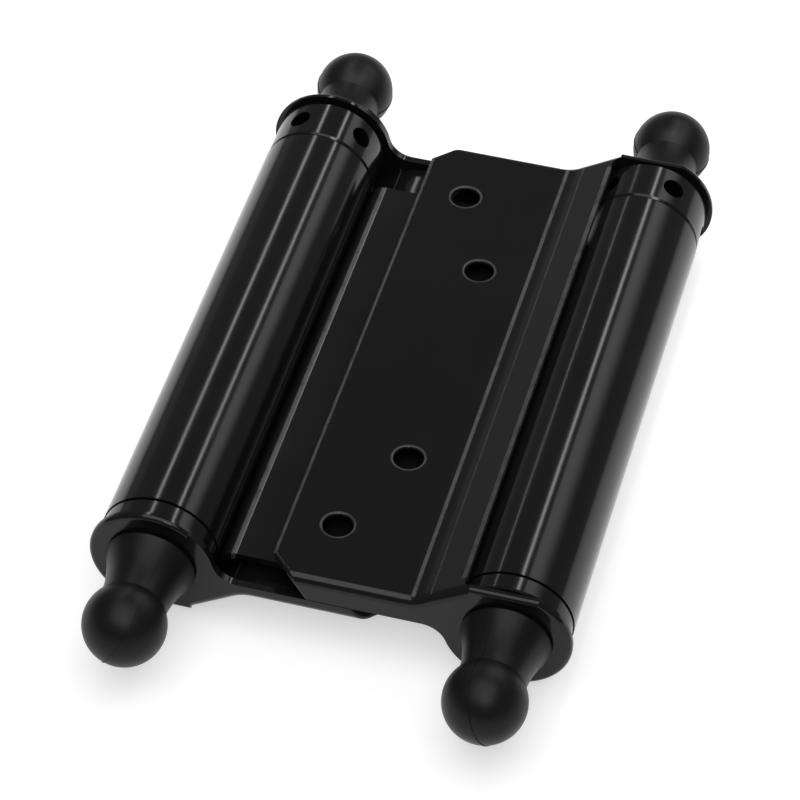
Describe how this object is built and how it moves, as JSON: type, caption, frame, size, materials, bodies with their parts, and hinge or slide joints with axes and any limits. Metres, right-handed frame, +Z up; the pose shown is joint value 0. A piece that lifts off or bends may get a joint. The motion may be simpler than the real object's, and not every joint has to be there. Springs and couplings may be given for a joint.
{
  "type": "double action spring hinge",
  "caption": "Double action cafe door hinge: pressed leaves on a centre web rolled into sprung barrels, with tension collars and ball finials, in gloss black.",
  "frame": {"origin": "on the floor under the middle of the hinge as it lies on its back", "axes": "+X from the jamb barrel to the door barrel, +Y along the barrels to the tension collars, +Z up, out of the door leaf's plate"},
  "size_m": [0.0748, 0.1382, 0.0198],
  "materials": {
    "black_paint": "gloss",
    "moulded_plastic": "satin",
    "bare_steel": "drawn"
  },
  "bodies": {
    "jamb_leaf": {"jamb_leaf": "black_paint", "jamb_spindle": "bare_steel", "jamb_upper_finial": "moulded_plastic", "jamb_lower_finial": "moulded_plastic"},
    "centre_web": {"centre_web": "black_paint", "jamb_base_plug": "black_paint", "door_base_plug": "black_paint", "jamb_torsion_spring": "bare_steel", "door_torsion_spring": "bare_steel"},
    "door_leaf": {"door_leaf": "black_paint", "door_spindle": "bare_steel", "door_upper_finial": "moulded_plastic", "door_lower_finial": "moulded_plastic"},
    "jamb_tension_collar": {"jamb_tension_collar": "black_paint"},
    "door_tension_collar": {"door_tension_collar": "black_paint"}
  },
  "joints": [
    {"name": "jamb_pivot", "type": "hinge", "parent": "jamb_leaf", "child": "centre_web", "pos_m": [-0.0275, 0, 0.0106], "axis": [0, -1, 0], "range_deg": [0, 110], "stiffness_Nm_per_rad": 0.24, "springref_deg": -45.84, "deforming": ["jamb_torsion_spring"]},
    {"name": "door_pivot", "type": "hinge", "parent": "centre_web", "child": "door_leaf", "pos_m": [0.0275, 0, 0.0106], "axis": [0, 1, 0], "range_deg": [0, 110], "stiffness_Nm_per_rad": 0.24, "springref_deg": -45.84, "deforming": ["door_torsion_spring"]},
    {"name": "jamb_collar_turn", "type": "hinge", "parent": "jamb_leaf", "child": "jamb_tension_collar", "pos_m": [-0.0275, 0, 0.0106], "axis": [0, 1, 0], "range_deg": [0, 216], "stiffness_Nm_per_rad": 0.24, "deforming": ["jamb_torsion_spring"]},
    {"name": "door_collar_turn", "type": "hinge", "parent": "door_leaf", "child": "door_tension_collar", "pos_m": [0.0275, 0, 0.0106], "axis": [0, -1, 0], "range_deg": [0, 216], "stiffness_Nm_per_rad": 0.24, "deforming": ["door_torsion_spring"]}
  ]
}
